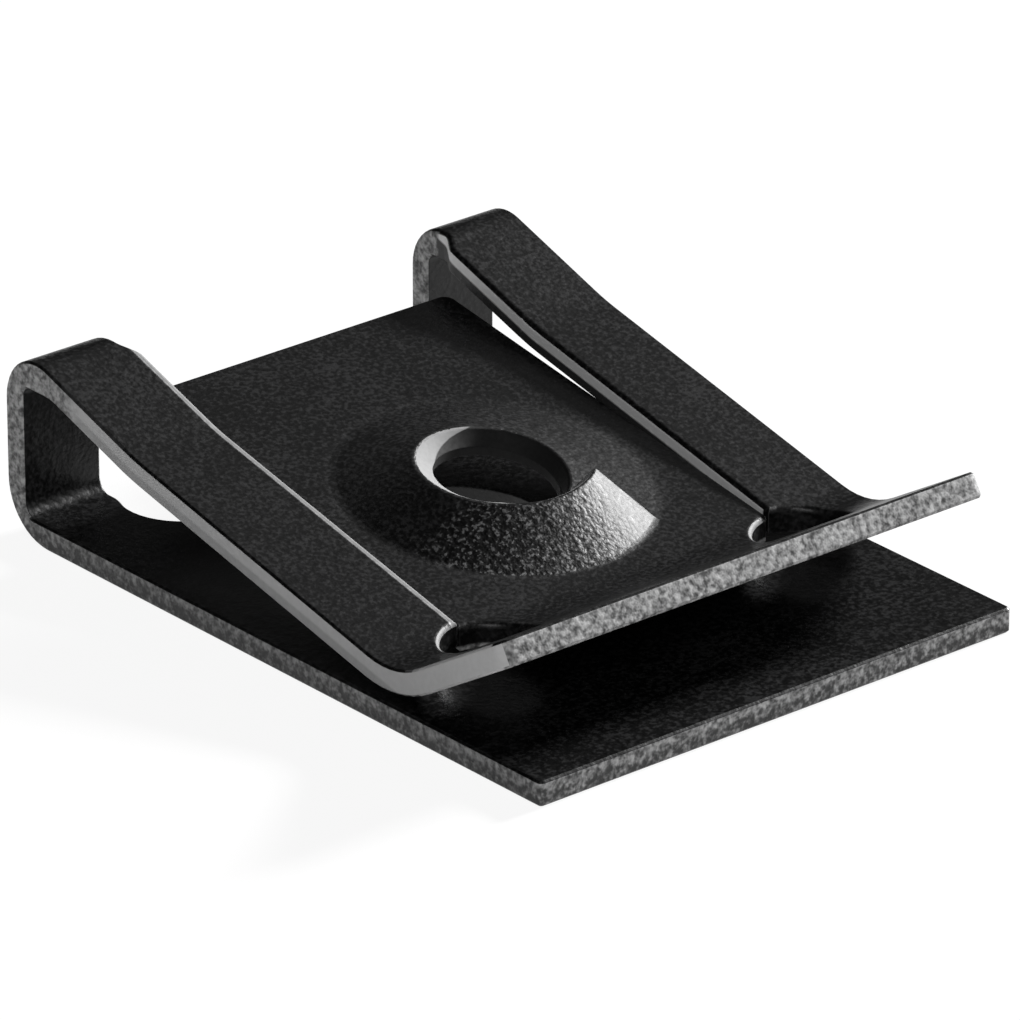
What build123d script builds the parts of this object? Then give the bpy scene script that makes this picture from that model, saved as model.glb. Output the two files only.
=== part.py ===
"""U clip speed nut: one strip of spring steel, folded into a U, with a tongue lanced out of its upper
leaf and a helical screw boss drawn up in the tongue.

Millimetres, +Z up. The origin is on the underside of the base, at the middle of the clip's length
and on the line that the screw axis stands over. X runs across the strip, +Y runs towards the fold,
and the mouth of the clip is at -Y."""

import os
from math import atan2, cos, degrees, hypot, radians, sin, tan

from build123d import *

# The strip.
sheet = 0.7  # thickness of the spring steel
width = 16.2  # width of the strip
die_shift = 0.1  # the tongue, boss and slot sit this far right of the strip's middle
edge_break = 0.06  # how far the sheared edges are broken

# The base and the fold.
length = 21.7  # front edge of the base to the outer face of the legs
bottom_bend_outer = 1.65  # outer radius from the base into the legs
bottom_bend_inner = 0.4
top_bend_outer = 1.35  # outer radius from the legs into the arms
top_bend_inner = 0.3
fold_inside_flat = 1.2  # inside the fold, the arms run level for this far before the inner bend
fold_inside_radius = 1.5
base_corner_left = 0.15  # plan rounding of the base's front corners
base_corner_right = 0.15
base_narrowing = 0.22  # the base's right edge runs in by this much towards the mouth
base_narrowing_y = 8.0  # from here

# The upper leaf: two arms that run down to a dip, then a lip that leads the panel in.
dip_y = -5.16  # where the arm's top meets the lip's top, before rounding
dip_z = 1.56
dip_radius = 2.7  # on the top face
arm_angle = 12.8  # rise of the arms behind the dip
knee_y = 5.45  # the arms steepen here
knee_radius = 8.0
arm_angle_rear = 18.8
lip_angle = 30.75  # rise of the lip in front of the dip
lip_front_y = -9.25  # top front edge of the lip
lip_corner = 0.4  # rounding of the lip's ends

# The window blanked out of the base, the legs and the fold.
window_width = 11.25  # between the legs
window_front_y = 6.8
window_corner = 1.75  # the corners are drilled out a little past the window's sides
window_bulge = 0.2
window_blend = 0.8  # rounds the bulge into the window's sides
fold_window_y = 8.8  # from here the gap between the arms widens to the window's width
fold_window_run = 0.5  # length of the widening
fold_window_corner = 0.45

# The tongue, lanced free of the arms and bent lower than they are.
tongue_width = 10.6  # between the lance lines
lance_gap = 0.03  # from each lance line to the tongue's edge
lance_skew = 0.34  # degrees that the lance lines lean right towards the mouth
punch_roll = 0.15  # the punch rolled the top edges over along the lance lines and the relief holes
tongue_angle = 9.37
tongue_drop = 0.09  # how far the tongue's dip lies below the arms' dip
tongue_end_y = 8.85
tongue_corner = 0.35
relief_radius = 1.3  # round holes that end the lance lines
relief_y = -5.38

# The screw slot in the base.
slot_width = 5.2
slot_length = 8.4
slot_y = 0.75

# The boss: one turn of a helical ramp, lowest just behind its step and highest at its front.
boss_y = 0.59  # the screw axis meets the tongue's top here
bore_radius = 1.7
step_angle = -51.0  # where the ramp starts and ends, about the screw axis from +X
rim_height_low = 0.32
rim_rise = 0.85  # over the turn
rim_radius_low = 1.88
rim_growth = 0.64
foot_radius = 4.3
foot_blend = 0.1  # length of the smooth run-out at the foot, each way
rim_round = 0.07
wall_depth = 0.66  # rim to the lower edge of the bore
land_height = 0.26  # straight part of the bore wall
thread_angle = 285.0  # the bore keeps its radius over this much of the turn
bore_end_growth = 0.43  # then it opens out to the boss's high end
land_end_height = 0.08


def along(point, angle, distance):
    """The point at a distance from another, in the direction of an angle in degrees."""
    return (point[0] + distance * cos(radians(angle)), point[1] + distance * sin(radians(angle)))


def under(point, angle):
    """The point one sheet below a top face that rises towards +Y at the angle."""
    return along(point, angle - 90, sheet)


def crossing(point_a, angle_a, point_b, angle_b):
    """Where two lines cross, each given by a point and its angle in degrees."""
    ca, sa = cos(radians(angle_a)), sin(radians(angle_a))
    cb, sb = cos(radians(angle_b)), sin(radians(angle_b))
    reach = ((point_b[0] - point_a[0]) * sb - (point_b[1] - point_a[1]) * cb) / (ca * sb - sa * cb)
    return (point_a[0] + reach * ca, point_a[1] + reach * sa)


left_side = -width / 2 - die_shift
right_side = left_side + width
front = -length / 2
back = length / 2
half_tongue = tongue_width / 2
half_window = window_width / 2


def lance_x(y):
    """How far right the lance lines lean at a distance along the clip, from nothing at the window."""
    return (fold_window_y - y) * tan(radians(lance_skew))


# Corners of the folded section in the YZ plane, before rounding.
dip = (dip_y, dip_z)
knee = crossing(dip, arm_angle, (knee_y, 0), 90)
top_corner = crossing(knee, arm_angle_rear, (back, 0), 90)
lip_tip = crossing(dip, -lip_angle, (lip_front_y, 0), 90)
lip_tip_under = under(lip_tip, -lip_angle)
dip_under = crossing(under(dip, arm_angle), arm_angle, lip_tip_under, -lip_angle)
knee_under = crossing(under(knee, arm_angle), arm_angle, under(knee, arm_angle_rear), arm_angle_rear)
fold_inside = crossing(knee_under, arm_angle_rear, (back - sheet - fold_inside_flat, 0), 90)
top_corner_in = (back - sheet, fold_inside[1])
lip_out = Vector(0, -cos(radians(lip_angle)), sin(radians(lip_angle)))
room_front = relief_y - 0.88 * relief_radius
relief_centres = [(lance_x(relief_y) - half_tongue, relief_y), (lance_x(relief_y) + half_tongue, relief_y)]


# The tongue, from inside the lip to its free end.
tongue_dip = crossing(along(dip, -90, tongue_drop), tongue_angle, dip, -lip_angle)
lip_start = crossing(dip, -lip_angle, (relief_y - 1.35 * relief_radius, 0), 90)
lip_start_under = under(lip_start, -lip_angle)
tongue_end = crossing(tongue_dip, tongue_angle, (tongue_end_y, 0), 90)
tongue_end_under = under(tongue_end, tongue_angle)
tongue_dip_under = crossing(tongue_end_under, tongue_angle, lip_start_under, -lip_angle)

# The boss's own plane: on the tongue's top, with the screw axis standing square on it.
boss_seat = crossing(tongue_dip, tongue_angle, (boss_y, 0), 90)
screw_axis = Vector(0, -sin(radians(tongue_angle)), cos(radians(tongue_angle)))
boss_plane = Plane(origin=(0, *boss_seat), x_dir=(1, 0, 0), z_dir=screw_axis)


def ramp_plane(angle):
    """The half plane through the screw axis at an angle about it, X outwards and Y up the axis."""
    outward = Vector(1, 0, 0) * cos(radians(angle)) + boss_plane.y_dir * sin(radians(angle))
    return Plane(origin=boss_plane.origin, x_dir=outward, z_dir=outward.cross(screw_axis))


def rim_at(angle):
    """Radius and height of the rim at an angle about the screw axis."""
    turn = (angle - step_angle) / 360
    return rim_radius_low + rim_growth * turn, rim_height_low + rim_rise * turn


def flank_angle(angle):
    radius, height = rim_at(angle)
    return degrees(atan2(height, foot_radius - radius))


def past_thread(angle):
    """0 while the bore keeps its radius, then rising to 1 at the end of the turn."""
    return max(0, (angle - step_angle - thread_angle) / (360 - thread_angle))


def bore_at(angle):
    return bore_radius + bore_end_growth * past_thread(angle)


def land_at(angle):
    return land_height + (land_end_height - land_height) * past_thread(angle)


def lip_side_rim(edges, centre):
    """The part of a relief hole's upper rim that lies in the lip."""

    def off_rim(point):
        return abs(hypot(point.X - centre[0], point.Y - centre[1]) - relief_radius)

    rims = edges.filter_by(lambda edge: max(off_rim(edge @ share) for share in (0, 0.5, 1)) < 0.01)
    return rims.filter_by(lambda edge: (edge @ 0.5).Y < relief_y - relief_radius / 2).sort_by(Axis.Z)[-1]


def arm_wall(faces, near_x):
    """The sheared wall of an arm along its lance line."""
    return faces.filter_by(lambda face: abs(face.center().X - near_x) < 0.2).sort_by(SortBy.AREA)[-1]


thread_third = thread_angle / 3
thirds = [[step_angle + thread_third * (part + step / 6) for step in range(7)] for part in range(3)]
last_stretch = [step_angle + thread_angle + (360 - thread_angle) * step / 5 for step in range(6)]
core_radius = bore_radius / 2

with BuildPart() as tongue:
    with BuildSketch(Plane.YZ.offset(-tongue_width)) as tongue_section:
        with BuildLine():
            Polyline(
                lip_start,
                tongue_dip,
                tongue_end,
                tongue_end_under,
                tongue_dip_under,
                lip_start_under,
                close=True,
            )
        make_face()
        fillet(tongue_section.vertices().sort_by_distance(tongue_dip)[0], dip_radius)
        fillet(tongue_section.vertices().sort_by_distance(tongue_dip_under)[0], dip_radius + sheet)
    extrude(amount=2 * tongue_width)
    with BuildSketch():
        with BuildLine():
            half = half_tongue - lance_gap
            Polyline(
                (lance_x(tongue_end_y) - half, tongue_end_y),
                (lance_x(tongue_end_y) + half, tongue_end_y),
                (lance_x(room_front) + half, room_front),
                (lance_x(room_front) - half, room_front),
                close=True,
            )
        make_face()
        with Locations(*relief_centres):
            Circle(relief_radius, mode=Mode.SUBTRACT)
    extrude(amount=length, mode=Mode.INTERSECT)
    end_corners = tongue.faces().sort_by(Axis.Y)[-1].edges().filter_by(Axis.X, reverse=True)
    fillet(end_corners, tongue_corner)
    for centre in relief_centres:
        fillet(lip_side_rim(edges(), centre), punch_roll)
    # One side is picked, and the breaking runs on round the tongue's end to the other.
    lance_edges = tongue.faces().sort_by(Axis.X)[0].edges()
    chamfer(lance_edges.filter_by(lambda edge: edge.length > 1.5 * sheet), edge_break)

    # The boss stands up as a cone whose rim climbs the helix.
    for stretch in (*thirds, last_stretch):
        for angle in stretch:
            rim_radius, rim_height = rim_at(angle)
            flank = flank_angle(angle)
            rim = (rim_radius, rim_height)
            land_top = (bore_at(angle), rim_height - wall_depth + land_at(angle))
            wall = degrees(atan2(rim_height - land_top[1], rim_radius - land_top[0]))
            run_out = along((foot_radius, 0), 180 - flank, foot_blend)
            rim_start = along(rim, -flank, rim_round)
            rim_end = along(rim, 180 + wall, rim_round)
            with BuildSketch(ramp_plane(angle)):
                with BuildLine():
                    Line((foot_radius + foot_blend, -sheet / 2), (foot_radius + foot_blend, 0))
                    TangentArc((foot_radius + foot_blend, 0), run_out, tangent=(-1, 0))
                    Line(run_out, rim_start)
                    TangentArc(rim_start, rim_end, tangent=(-cos(radians(flank)), sin(radians(flank))))
                    Line(rim_end, land_top)
                    Line(land_top, (core_radius, land_top[1]))
                    Line((core_radius, land_top[1]), (core_radius, -sheet / 2))
                    Line((core_radius, -sheet / 2), (foot_radius + foot_blend, -sheet / 2))
                make_face()
        loft()

    # Its hollow underside follows one sheet below.
    for stretch in (*thirds, last_stretch):
        for angle in stretch:
            rim_radius, rim_height = rim_at(angle)
            flank = flank_angle(angle)
            with BuildSketch(ramp_plane(angle)):
                with BuildLine():
                    Polyline(
                        (core_radius, -3 * sheet),
                        (foot_radius - sheet * tan(radians(flank / 2)), -3 * sheet),
                        (foot_radius - sheet * tan(radians(flank / 2)), -sheet),
                        along((rim_radius, rim_height), -90 - flank, sheet),
                        (bore_at(angle), rim_height - wall_depth),
                        (core_radius, rim_height - wall_depth),
                        close=True,
                    )
                make_face()
        loft(mode=Mode.SUBTRACT)


with BuildPart() as spring_clip:
    with BuildSketch(Plane.YZ.offset(left_side)) as folded_section:
        with BuildLine():
            Polyline(
                (front, 0),
                (back, 0),
                top_corner,
                knee,
                dip,
                lip_tip,
                lip_tip_under,
                dip_under,
                knee_under,
                fold_inside,
                top_corner_in,
                (back - sheet, sheet),
                (front, sheet),
                close=True,
            )
        make_face()
        rounded = [
            ((back, 0), bottom_bend_outer),
            ((back - sheet, sheet), bottom_bend_inner),
            (top_corner, top_bend_outer),
            (fold_inside, fold_inside_radius),
            (top_corner_in, top_bend_inner),
            (knee, knee_radius),
            (knee_under, knee_radius + sheet),
            (dip, dip_radius),
            (dip_under, dip_radius + sheet),
        ]
        for corner, radius in rounded:
            fillet(folded_section.vertices().sort_by_distance(corner)[0], radius)
    extrude(amount=width)
    # The base's right edge runs in a little towards the mouth.
    with BuildSketch(Plane.XY.offset(-sheet)):
        with BuildLine():
            Polyline(
                (right_side, base_narrowing_y),
                (right_side + width, base_narrowing_y),
                (right_side + width, front),
                (right_side - base_narrowing, front),
                close=True,
            )
        make_face()
    extrude(amount=2.2 * sheet, mode=Mode.SUBTRACT)
    base_ends = edges().filter_by(Axis.Z).group_by(Axis.Y)[0].sort_by(Axis.X)
    fillet(base_ends[0], base_corner_left)
    fillet(base_ends[-1], base_corner_right)
    lip_face = faces().filter_by(lambda face: face.normal_at().dot(lip_out) > 0.999)[0]
    fillet(lip_face.edges().filter_by(Axis.X, reverse=True), lip_corner)
    # The breaking runs on from the left side across both ends; the kink in the right side stops it.
    side_edges = faces().sort_by(Axis.X)[0].edges() + faces().filter_by(Axis.X).sort_by(Axis.X)[-1].edges()
    chamfer(side_edges.filter_by(lambda edge: edge.length > 1.5 * sheet), edge_break)

    # The window goes through the base and the legs, and less far into the arms.
    with BuildSketch(Plane.XY.offset(-sheet)):
        with Locations((0, window_front_y)):
            Rectangle(window_width, length, align=(Align.CENTER, Align.MIN))
        window_corners = vertices().group_by(Axis.Y)[0]
        fillet(window_corners, window_corner)
        bulge_x = half_window + window_bulge - window_corner
        bulge_y = window_front_y + window_corner
        with Locations((-bulge_x, bulge_y), (bulge_x, bulge_y)):
            Circle(window_corner)
        side_kinks = vertices().filter_by(lambda kink: abs(abs(kink.X) - half_window) < 0.001)
        fillet(side_kinks.group_by(Axis.Y)[0], window_blend)
    extrude(amount=4 * sheet, mode=Mode.SUBTRACT)

    # The gap between the arms, from the fold to the relief holes.
    with BuildSketch(Plane.XY.offset(1.3 * sheet)):
        with BuildLine():
            front_lean = lance_x(room_front)
            Polyline(
                (front_lean - half_tongue, room_front),
                (-half_tongue, fold_window_y),
                (-half_window, fold_window_y + fold_window_run),
                (-half_window, back + sheet),
                (half_window, back + sheet),
                (half_window, fold_window_y + fold_window_run),
                (half_tongue, fold_window_y),
                (front_lean + half_tongue, room_front),
                close=True,
            )
        make_face()
        fillet(vertices().group_by(Axis.Y)[1] + vertices().group_by(Axis.Y)[2], fold_window_corner)
        with Locations(*relief_centres):
            Circle(relief_radius)
    extrude(amount=length, mode=Mode.SUBTRACT)

    # On each side the top edge rolls over along the lance line and round the relief hole.
    for centre in relief_centres:
        lance_top = arm_wall(faces(), centre[0]).edges().sort_by(SortBy.LENGTH)[-2:].sort_by(Axis.Z)[-1]
        fillet([lance_top, lip_side_rim(edges(), centre)], punch_roll)
    for centre in relief_centres:
        lance_under = arm_wall(faces(), centre[0]).edges().sort_by(SortBy.LENGTH)[-2:].sort_by(Axis.Z)[0]
        chamfer(lance_under, edge_break)
    add(tongue.part)

    # The screw slot in the base, as long as the boss wanders when the clip is squeezed.
    with BuildSketch(Plane.XY.offset(-sheet)):
        with Locations((0, slot_y)):
            SlotOverall(slot_length, slot_width, rotation=90)
    extrude(amount=2.2 * sheet, mode=Mode.SUBTRACT)
    slot_rims = faces().filter_by(Axis.Z).edges().filter_by(GeomType.CIRCLE).filter_by(
        lambda edge: abs(edge.radius - slot_width / 2) < 0.001
    )
    chamfer(slot_rims, edge_break)

    # The bore, in thirds, and the stretch where it opens out.
    for third in thirds:
        with BuildSketch(boss_plane.offset(-3 * sheet)) as bore_sector:
            with BuildLine():
                start = along((0, 0), third[0], bore_radius)
                end = along((0, 0), third[-1], bore_radius)
                Line((0, 0), start)
                RadiusArc(start, end, -bore_radius)
                Line(end, (0, 0))
            make_face()
        extrude(amount=7 * sheet, mode=Mode.SUBTRACT, clean=False)
    with BuildSketch(boss_plane.offset(-3 * sheet)):
        with BuildLine():
            opening = [along((0, 0), angle, bore_at(angle)) for angle in last_stretch]
            Line((0, 0), opening[0])
            Spline(*opening)
            Line(opening[-1], (0, 0))
        make_face()
    extrude(amount=7 * sheet, mode=Mode.SUBTRACT, clean=False)

os.makedirs("parts", exist_ok=True)
spring_clip.part.label = "spring_clip"
export_step(spring_clip.part, "parts/spring_clip.step")
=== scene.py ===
"""U clip speed nut in black phosphated spring steel, on a white studio floor."""

import math

import bpy
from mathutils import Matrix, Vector

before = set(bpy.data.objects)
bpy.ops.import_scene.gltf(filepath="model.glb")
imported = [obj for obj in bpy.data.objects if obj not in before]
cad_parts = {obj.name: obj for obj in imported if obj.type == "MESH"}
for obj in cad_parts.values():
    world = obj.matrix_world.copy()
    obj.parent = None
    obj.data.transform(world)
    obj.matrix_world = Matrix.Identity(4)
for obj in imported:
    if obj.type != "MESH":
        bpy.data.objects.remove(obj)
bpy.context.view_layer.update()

MM = 0.001


# ---------------------------------------------------------------- sizes of the clip, in millimetres

SOFT = 0.1  # how far the edge of a patch takes to fade

SHEET = 0.7
GAP_Z = 1.0  # a height between the base and the tongue
FOLD_Y = 9.1
SLOT_Y = 0.75
SLOT_REACH_X, SLOT_REACH_Y = 2.8, 4.4  # just past the slot's wall

TONGUE_TILT = math.radians(9.37)
BOSS_SEAT = (0.0, 0.59, 2.419)  # where the screw axis meets the tongue's top
SCREW_AXIS = (0.0, -math.sin(TONGUE_TILT), math.cos(TONGUE_TILT))
BOSS_RADIUS = 4.3
BORE_REACH = 2.4
RIM_REACH = 1.8

LANCE_X = 5.3  # the lance lines, where they meet the gap in the fold
LANCE_END_Y = 8.8
LANCE_SKEW = math.tan(math.radians(0.34))
ROLL_OVER_END_Y = 9.6
HOLE_Y = -5.38
HOLE_LEAN = (LANCE_END_Y - HOLE_Y) * LANCE_SKEW
HOLE_RADIUS = 1.3
RELIEF_HOLES = [(HOLE_LEAN + side * LANCE_X, HOLE_Y, 0.0) for side in (-1, 1)]

DIP_Y, DIP_Z = -5.16, 1.56
KNEE_Y = 5.45
ARM_RISE = math.tan(math.radians(12.8))
EXTRA_RISE = math.tan(math.radians(18.8)) - ARM_RISE  # behind the knee
SMOOTH_SIDE_END_Y = 7.5  # the smooth cut on the left side fades out from here

GRAIN_DEPTH = 0.024
EDGE_ROUNDING = 0.05


# ---------------------------------------------------------------- colours

COATING = (0.0012, 0.0012, 0.00125, 1)
COATING_PALE = (0.014, 0.014, 0.0144, 1)
WEAR_AND_GLINT_GREY = (0.17, 0.17, 0.172, 1)
TORN_AND_SHADE_GREY = (0.03, 0.03, 0.0303, 1)
SHEARED = (0.44, 0.44, 0.44, 1)
BURNISHED_AND_HIGHLIGHT_GREY = (0.52, 0.52, 0.522, 1)
PAINTED_HIGHLIGHT_WHITE = (0.80, 0.80, 0.80, 1)
FLOOR_LIT = (0.8, 0.8, 0.8, 1)
FLOOR_SEEN = (0.12, 0.12, 0.12, 1)
WHITE = (1, 1, 1, 1)


# ---------------------------------------------------------------- the studio, in metres

FLOOR_HALF = 1.5
FLOOR_LEVEL = -0.01 * MM
FLOOR_GLOW = 0.90
ROOM_GLOW = 0.02
LAMP_AIM = Vector((0, 0, 0.003))
CAMERA_PLACE = Vector((-0.14515, -0.17158, 0.10406))
CAMERA_BACK = Vector((-0.58801, -0.69514, 0.41357))
LENS_LENGTH = 334.19  # in millimetres, like the sensor
SENSOR_WIDTH = 36


# ---------------------------------------------------------------- shader maths


class Value:
    """A socket in a finish, on which sums are written as plain Python."""

    def __init__(self, finish, socket):
        self.finish = finish
        self.socket = socket

    def maths(self, operation, *terms):
        return self.finish.node("ShaderNodeMath", {"operation": operation}, dict(enumerate((self, *terms))))

    def __add__(self, other):
        return self.maths("ADD", other)

    __radd__ = __add__

    def __sub__(self, other):
        return self.maths("SUBTRACT", other)

    def __rsub__(self, other):
        return (self * -1) + other

    def __mul__(self, other):
        return self.maths("MULTIPLY", other)

    __rmul__ = __mul__

    def __neg__(self):
        return self * -1

    def size(self):
        return self.maths("ABSOLUTE")

    def at_least(self, other):
        return self.maths("MAXIMUM", other)

    def rise(self, low, high):
        """0 below low, 1 above high, smooth between them."""
        return self.finish.node(
            "ShaderNodeMapRange",
            {"interpolation_type": "SMOOTHSTEP"},
            {"Value": self, "From Min": low, "From Max": high},
            "Result",
        )


class Finish:
    """One procedural material."""

    def __init__(self, name, tree=None):
        if tree is None:
            self.material = bpy.data.materials.new(name)
            self.material.use_nodes = True
            tree = self.material.node_tree
        self.tree = tree
        tree.nodes.clear()

    def node(self, kind, settings=None, sockets=None, output=0):
        """Adds a node: its settings first, then the values or links of its sockets."""
        node = self.tree.nodes.new(kind)
        for name, setting in (settings or {}).items():
            setattr(node, name, setting)
        for name, term in (sockets or {}).items():
            if isinstance(term, Value):
                self.tree.links.new(term.socket, node.inputs[name])
            else:
                node.inputs[name].default_value = term
        return Value(self, node.outputs[output]) if len(node.outputs) else None

    def part_of(self, vector, axis):
        """The X, Y or Z of a vector."""
        return self.node("ShaderNodeSeparateXYZ", sockets={"Vector": vector}, output=axis)

    def vector(self, operation, first, second=None, **sockets):
        if second is not None:
            sockets[1] = second
        return self.node("ShaderNodeVectorMath", {"operation": operation}, {0: first, **sockets})

    def length(self, vector):
        """How long a vector is."""
        return self.node("ShaderNodeVectorMath", {"operation": "LENGTH"}, {0: vector}, "Value")

    def along(self, first, second):
        """The dot product of two vectors."""
        return self.node("ShaderNodeVectorMath", {"operation": "DOT_PRODUCT"}, {0: first, 1: second}, "Value")

    def noise(self, at, scale, detail, roughness=0.5):
        """Noise from 0 to 1, with about scale lumps to each unit of at."""
        return self.node(
            "ShaderNodeTexNoise",
            {"noise_dimensions": "3D", "normalize": True},
            {"Vector": at, "Scale": scale, "Detail": detail, "Roughness": roughness},
            "Fac",
        )

    def blend(self, share, first, second):
        """Colour first where share is 0 and colour second where it is 1."""
        return self.node("ShaderNodeMix", {"data_type": "RGBA"}, {0: share, 6: first, 7: second}, 2)


# ---------------------------------------------------------------- the black steel


def black_steel():
    """Black coating on the rolled faces of the sheet, and grey steel where the punch sheared it, with painted
    highlights and painted shade in both.
    """
    finish = Finish("black_phosphate")
    place = finish.node("ShaderNodeNewGeometry", output="Position")
    facing = finish.node("ShaderNodeNewGeometry", output="True Normal")
    mm = finish.vector("SCALE", place, Scale=1 / MM)
    x, y, z = (finish.part_of(mm, axis) for axis in "XYZ")
    nx, ny, nz = (finish.part_of(facing, axis) for axis in "XYZ")
    above_base = z.rise(GAP_Z, GAP_Z + SOFT)
    in_base = 1 - z.rise(SHEET + 0.02, SHEET + 0.06)

    # The boss, the walls of its bore and the face that the punch drew down in front.
    from_seat = finish.vector("SUBTRACT", mm, BOSS_SEAT)
    off_axis = finish.length(finish.vector("CROSS_PRODUCT", from_seat, SCREW_AXIS))
    up_axis = finish.along(from_seat, SCREW_AXIS)
    boss = (1 - off_axis.rise(BOSS_RADIUS, BOSS_RADIUS + 0.4)) * above_base
    inward = (-finish.along(from_seat, facing)).rise(0.1, 0.4)
    bore = boss * (1 - off_axis.rise(BORE_REACH, BORE_REACH + 0.2)) * inward
    drawn = boss * off_axis.rise(RIM_REACH, RIM_REACH + SOFT) * (-ny).rise(0.24, 0.4) * (1 - bore)
    ironed = drawn * x.rise(-0.2, 2.0)

    # Faces that carry the coating: the sheet's own, the fold, the boss, and the slot's wall, whose coating
    # there is painted shade.
    beside_slot = x.size().rise(SLOT_REACH_X, SLOT_REACH_X + SOFT)
    past_slot = (y - SLOT_Y).size().rise(SLOT_REACH_Y, SLOT_REACH_Y + SOFT)
    slot = (1 - beside_slot) * (1 - past_slot) * in_base
    fold = y.rise(FOLD_Y, FOLD_Y + SOFT) * (1 - nx.size().rise(0.4, 0.6))
    rolled = nz.size().rise(0.60, 0.68).at_least(fold).at_least(boss).at_least(slot)

    # Along the lance lines the roll-over is painted: bare on the left arm's edge as a painted highlight where
    # the side light catches it, and black on the right arm's edge as painted shade.
    past_lance = (x - (LANCE_END_Y - y) * LANCE_SKEW).size() - LANCE_X
    behind_holes = y.rise(HOLE_Y - 0.12, HOLE_Y + 0.08) * above_base
    before_fold = 1 - y.rise(ROLL_OVER_END_Y, ROLL_OVER_END_Y + 2 * SOFT)
    beside_lance = past_lance.rise(-0.02, 0.0) * before_fold * behind_holes
    roll_over = beside_lance * (1 - past_lance.rise(0.5, 0.6)) * nz.rise(0.02, 0.1)
    painted_shade_coat = roll_over * (-nx).rise(0.05, 0.15) * nz.rise(0.25, 0.4)
    painted_edge_highlight = roll_over * (1 - x.rise(-0.1, 0.0)) * (1 - past_lance.rise(0.17, 0.26))

    # The relief holes are painted black inside as painted shade, and their left rims are painted bare as a
    # painted highlight where the side light catches them.
    flat_place = finish.node("ShaderNodeCombineXYZ", sockets={"X": x, "Y": y})
    for hole in RELIEF_HOLES:
        reach = finish.length(finish.vector("SUBTRACT", flat_place, hole))
        near_hole = (1 - reach.rise(HOLE_RADIUS + 0.18, HOLE_RADIUS + 0.24)) * above_base
        at_rim = (1 - reach.rise(HOLE_RADIUS + 0.10, HOLE_RADIUS + 0.16)) * above_base
        painted_rim_highlight = at_rim * nx.rise(0.1, 0.2) * nz.rise(0.1, 0.2) * (1 - nz.rise(0.90, 0.96))
        painted_shade_coat = painted_shade_coat.at_least(near_hole)
        painted_edge_highlight = painted_edge_highlight.at_least(painted_rim_highlight)

    # A painted highlight: the bore's left wall is painted as bare steel down to a slanting line from the rim,
    # a painted shadow edge; the rest of the bore keeps the black coating as painted shade.
    painted_bore_highlight = bore * (up_axis * 6.3 - 3.05 - x).rise(-0.12, 0.12)
    # Painted highlights are cut to bare steel here, and painted shade keeps the black coating.
    cut = ((1 - rolled) * (1 - painted_shade_coat)).at_least(painted_edge_highlight).at_least(painted_bore_highlight)

    # Smooth cuts: the clip's left side, and the right arm's inner face for the upper half of the sheet,
    # painted near-white there as a painted highlight.
    outer_left = 1 - x.rise(-LANCE_X - 0.3, -LANCE_X + SOFT)
    before_bend = 1 - y.rise(SMOOTH_SIDE_END_Y, SMOOTH_SIDE_END_Y + 1)
    left_side = (-nx).rise(0.6, 0.7) * outer_left * z.rise(GAP_Z - SOFT, GAP_Z) * before_bend
    arm_top = DIP_Z + (y - DIP_Y) * ARM_RISE + (y - KNEE_Y).at_least(0) * EXTRA_RISE
    lower_half = (arm_top - z).rise(0.34, 0.44)
    on_lance = (1 - past_lance.size().rise(0.05, 0.1)) * behind_holes
    arm_face = beside_lance.at_least(on_lance) * x.rise(0, 0.1) * (-nx).rise(0.7, 0.8)
    smooth = left_side.at_least(painted_bore_highlight).at_least(painted_edge_highlight).at_least(arm_face * (1 - lower_half))

    # Noises: the coating's spots, grain and fine grain, its broad cloudiness, and the torn steel.
    spots = finish.noise(mm, scale=8.0, detail=1.5)
    grain = finish.noise(mm, scale=4.2, detail=1.0)
    fine = finish.noise(mm, scale=12.0, detail=1.0)
    cloud = finish.noise(mm, scale=0.45, detail=2.0)
    tear = finish.noise(mm, scale=4.5, detail=2.0, roughness=0.6)
    speck = finish.noise(mm, scale=8.0, detail=1.0)

    # Colour of the coating, with pale grains on the drawn face of the boss as painted glints.
    pale = (spots + (cloud - 0.5) * 0.35).rise(0.43, 0.68) * (1 - bore)
    coat = finish.blend(pale, COATING, COATING_PALE)
    painted_glints = drawn * (spots * 0.6 + fine * 0.4).rise(0.53, 0.62) * 0.8
    coat = finish.blend(painted_glints, coat, WEAR_AND_GLINT_GREY)

    # Colour of the cuts: torn and darker low in the sheet, with painted shade on the lower half of the right
    # arm's inner face, or burnished.
    low_in_base = in_base * (1 - z.rise(0.2, 0.62)) * 0.12
    painted_shade_low_in_arm = arm_face * lower_half * 0.3
    bright = (tear * 0.65 + speck * 0.45 - low_in_base - painted_shade_low_in_arm).rise(0.34, 0.78)
    torn_cut_and_shade = finish.blend(bright, TORN_AND_SHADE_GREY, SHEARED)
    # The smooth-cut colour is real burnish on the clip's left side and a painted highlight on the bore, the
    # arm's edge, the hole rims and the right arm's inner face.
    dulled = (lower_half * left_side * 0.35).at_least(painted_bore_highlight * 0.4).at_least(painted_edge_highlight * 0.6)
    smooth_cut_and_highlight = finish.blend(dulled, finish.blend(arm_face, BURNISHED_AND_HIGHLIGHT_GREY, PAINTED_HIGHLIGHT_WHITE), TORN_AND_SHADE_GREY)
    bare = finish.blend(smooth * 0.9, torn_cut_and_shade, smooth_cut_and_highlight)
    colour = finish.blend(cut, coat, bare)

    # Wear along the edges.
    rounded = finish.node("ShaderNodeBevel", {"samples": 6}, {"Radius": EDGE_ROUNDING * MM})
    edge = (1 - finish.along(rounded, facing)).rise(0.02, 0.2)
    colour = finish.blend(edge * 0.3 * (1 - bore), colour, WEAR_AND_GLINT_GREY)

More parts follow.
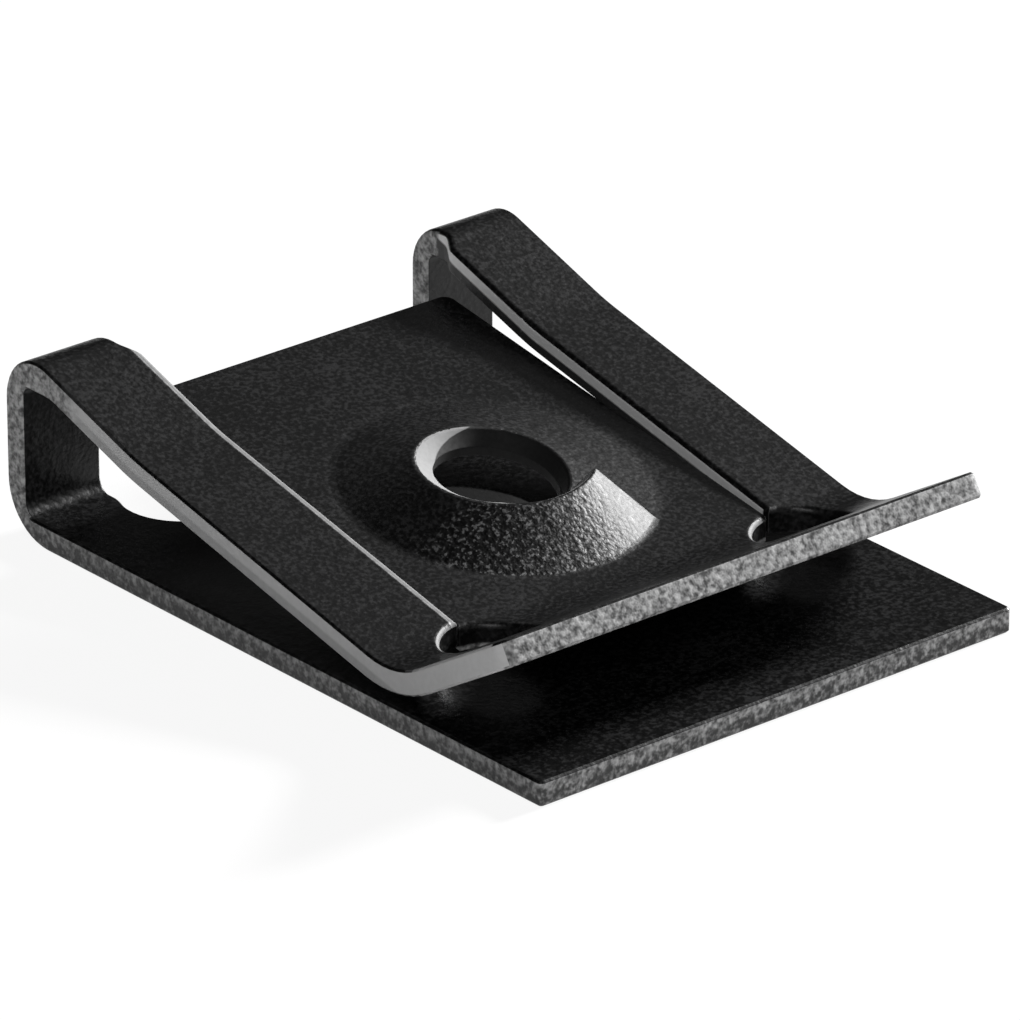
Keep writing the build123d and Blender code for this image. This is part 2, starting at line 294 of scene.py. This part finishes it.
    # Relief: coarser on the drawn face, ironed out towards its high end, and faint in the bore.
    coarseness = (1 + drawn * 1.8 - ironed * 1.9) * (1 - bore * 0.85)
    coat_height = (spots * 0.42 + grain * 0.5 + fine * 0.06) * coarseness
    cut_height = (tear * 0.8 + speck * 0.5) * (1 - smooth * 0.85)
    height = coat_height * (1 - cut) + cut_height * cut
    bump = finish.node(
        "ShaderNodeBump",
        sockets={"Strength": 1.0, "Distance": GRAIN_DEPTH * MM, "Height": height, "Normal": rounded},
    )
    rough = 0.38 + (spots - 0.5) * 0.2 + cut * 0.2 + boss * 0.07 + ironed * 0.06 + bore * 0.3

    shader = finish.node(
        "ShaderNodeBsdfPrincipled",
        sockets={"Base Color": colour, "Roughness": rough, "Specular IOR Level": 0.34, "Normal": bump},
    )
    finish.node("ShaderNodeOutputMaterial", sockets={"Surface": shader})
    return finish.material


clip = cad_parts["spring_clip"]
clip.data.materials.clear()
clip.data.materials.append(black_steel())


# ---------------------------------------------------------------- floor, light and camera


def studio_white():
    """White to the camera and in reflections, a plain pale floor to the light."""
    finish = Finish("studio_white")
    rays = finish.node("ShaderNodeLightPath", output="Is Camera Ray")
    for ray in ("Is Glossy Ray", "Is Transmission Ray"):
        rays = rays.at_least(finish.node("ShaderNodeLightPath", output=ray))
    lit = finish.node("ShaderNodeBsdfDiffuse", sockets={"Color": FLOOR_LIT})
    dim = finish.node("ShaderNodeBsdfDiffuse", sockets={"Color": FLOOR_SEEN})
    glow = finish.node("ShaderNodeEmission", sockets={"Color": WHITE, "Strength": FLOOR_GLOW})
    seen = finish.node("ShaderNodeAddShader", sockets={0: dim, 1: glow})
    shader = finish.node("ShaderNodeMixShader", sockets={0: rays, 1: lit, 2: seen})
    finish.node("ShaderNodeOutputMaterial", sockets={"Surface": shader})
    return finish.material


def floor():
    """A plain square under the clip."""
    mesh = bpy.data.meshes.new("studio_floor")
    corners = [(x * FLOOR_HALF, y * FLOOR_HALF, FLOOR_LEVEL) for x, y in ((-1, -1), (1, -1), (1, 1), (-1, 1))]
    mesh.from_pydata(corners, [], [(0, 1, 2, 3)])
    mesh.materials.append(studio_white())
    plane = bpy.data.objects.new("studio_floor", mesh)
    bpy.context.scene.collection.objects.link(plane)
    return plane


def panel_light(name, azimuth, elevation, distance, across, up, radiance):
    """A soft box aimed at the clip, from an azimuth about +X towards +Y and an elevation, in degrees."""
    lamp = bpy.data.lights.new(name, "AREA")
    lamp.shape = "RECTANGLE"
    lamp.size = across
    lamp.size_y = up
    lamp.energy = radiance * math.pi * across * up
    box = bpy.data.objects.new(name, lamp)
    turn, lift = math.radians(azimuth), math.radians(elevation)
    way = Vector((math.cos(turn) * math.cos(lift), math.sin(turn) * math.cos(lift), math.sin(lift)))
    box.location = way * distance + LAMP_AIM
    box.rotation_euler = way.to_track_quat("Z", "Y").to_euler()
    bpy.context.scene.collection.objects.link(box)


def studio_world():
    """White to the camera, and nearly dark as a source of light."""
    world = bpy.data.worlds.new("studio")
    world.use_nodes = True
    bpy.context.scene.world = world
    air = Finish("studio", world.node_tree)
    seen = air.node("ShaderNodeLightPath", output="Is Camera Ray")
    strength = seen * (1 - ROOM_GLOW) + ROOM_GLOW
    glow = air.node("ShaderNodeBackground", sockets={"Color": WHITE, "Strength": strength})
    air.node("ShaderNodeOutputWorld", sockets={"Surface": glow})


def camera():
    """A long lens, level and looking down at the mouth's left corner."""
    lens = bpy.data.cameras.new("studio_camera")
    lens.lens = LENS_LENGTH
    lens.sensor_width = SENSOR_WIDTH
    stand = bpy.data.objects.new("studio_camera", lens)
    stand.location = CAMERA_PLACE
    stand.rotation_euler = CAMERA_BACK.to_track_quat("Z", "Y").to_euler()
    bpy.context.scene.collection.objects.link(stand)
    bpy.context.scene.camera = stand


floor()
panel_light("side_light", azimuth=-1, elevation=25, distance=0.50, across=0.09, up=0.09, radiance=215)
panel_light("front_light", azimuth=-125, elevation=35, distance=0.50, across=0.30, up=0.25, radiance=3.8)
panel_light("rear_light", azimuth=42, elevation=46, distance=0.60, across=0.50, up=0.25, radiance=0.22)
studio_world()
camera()
bpy.context.scene.view_settings.view_transform = "Standard"
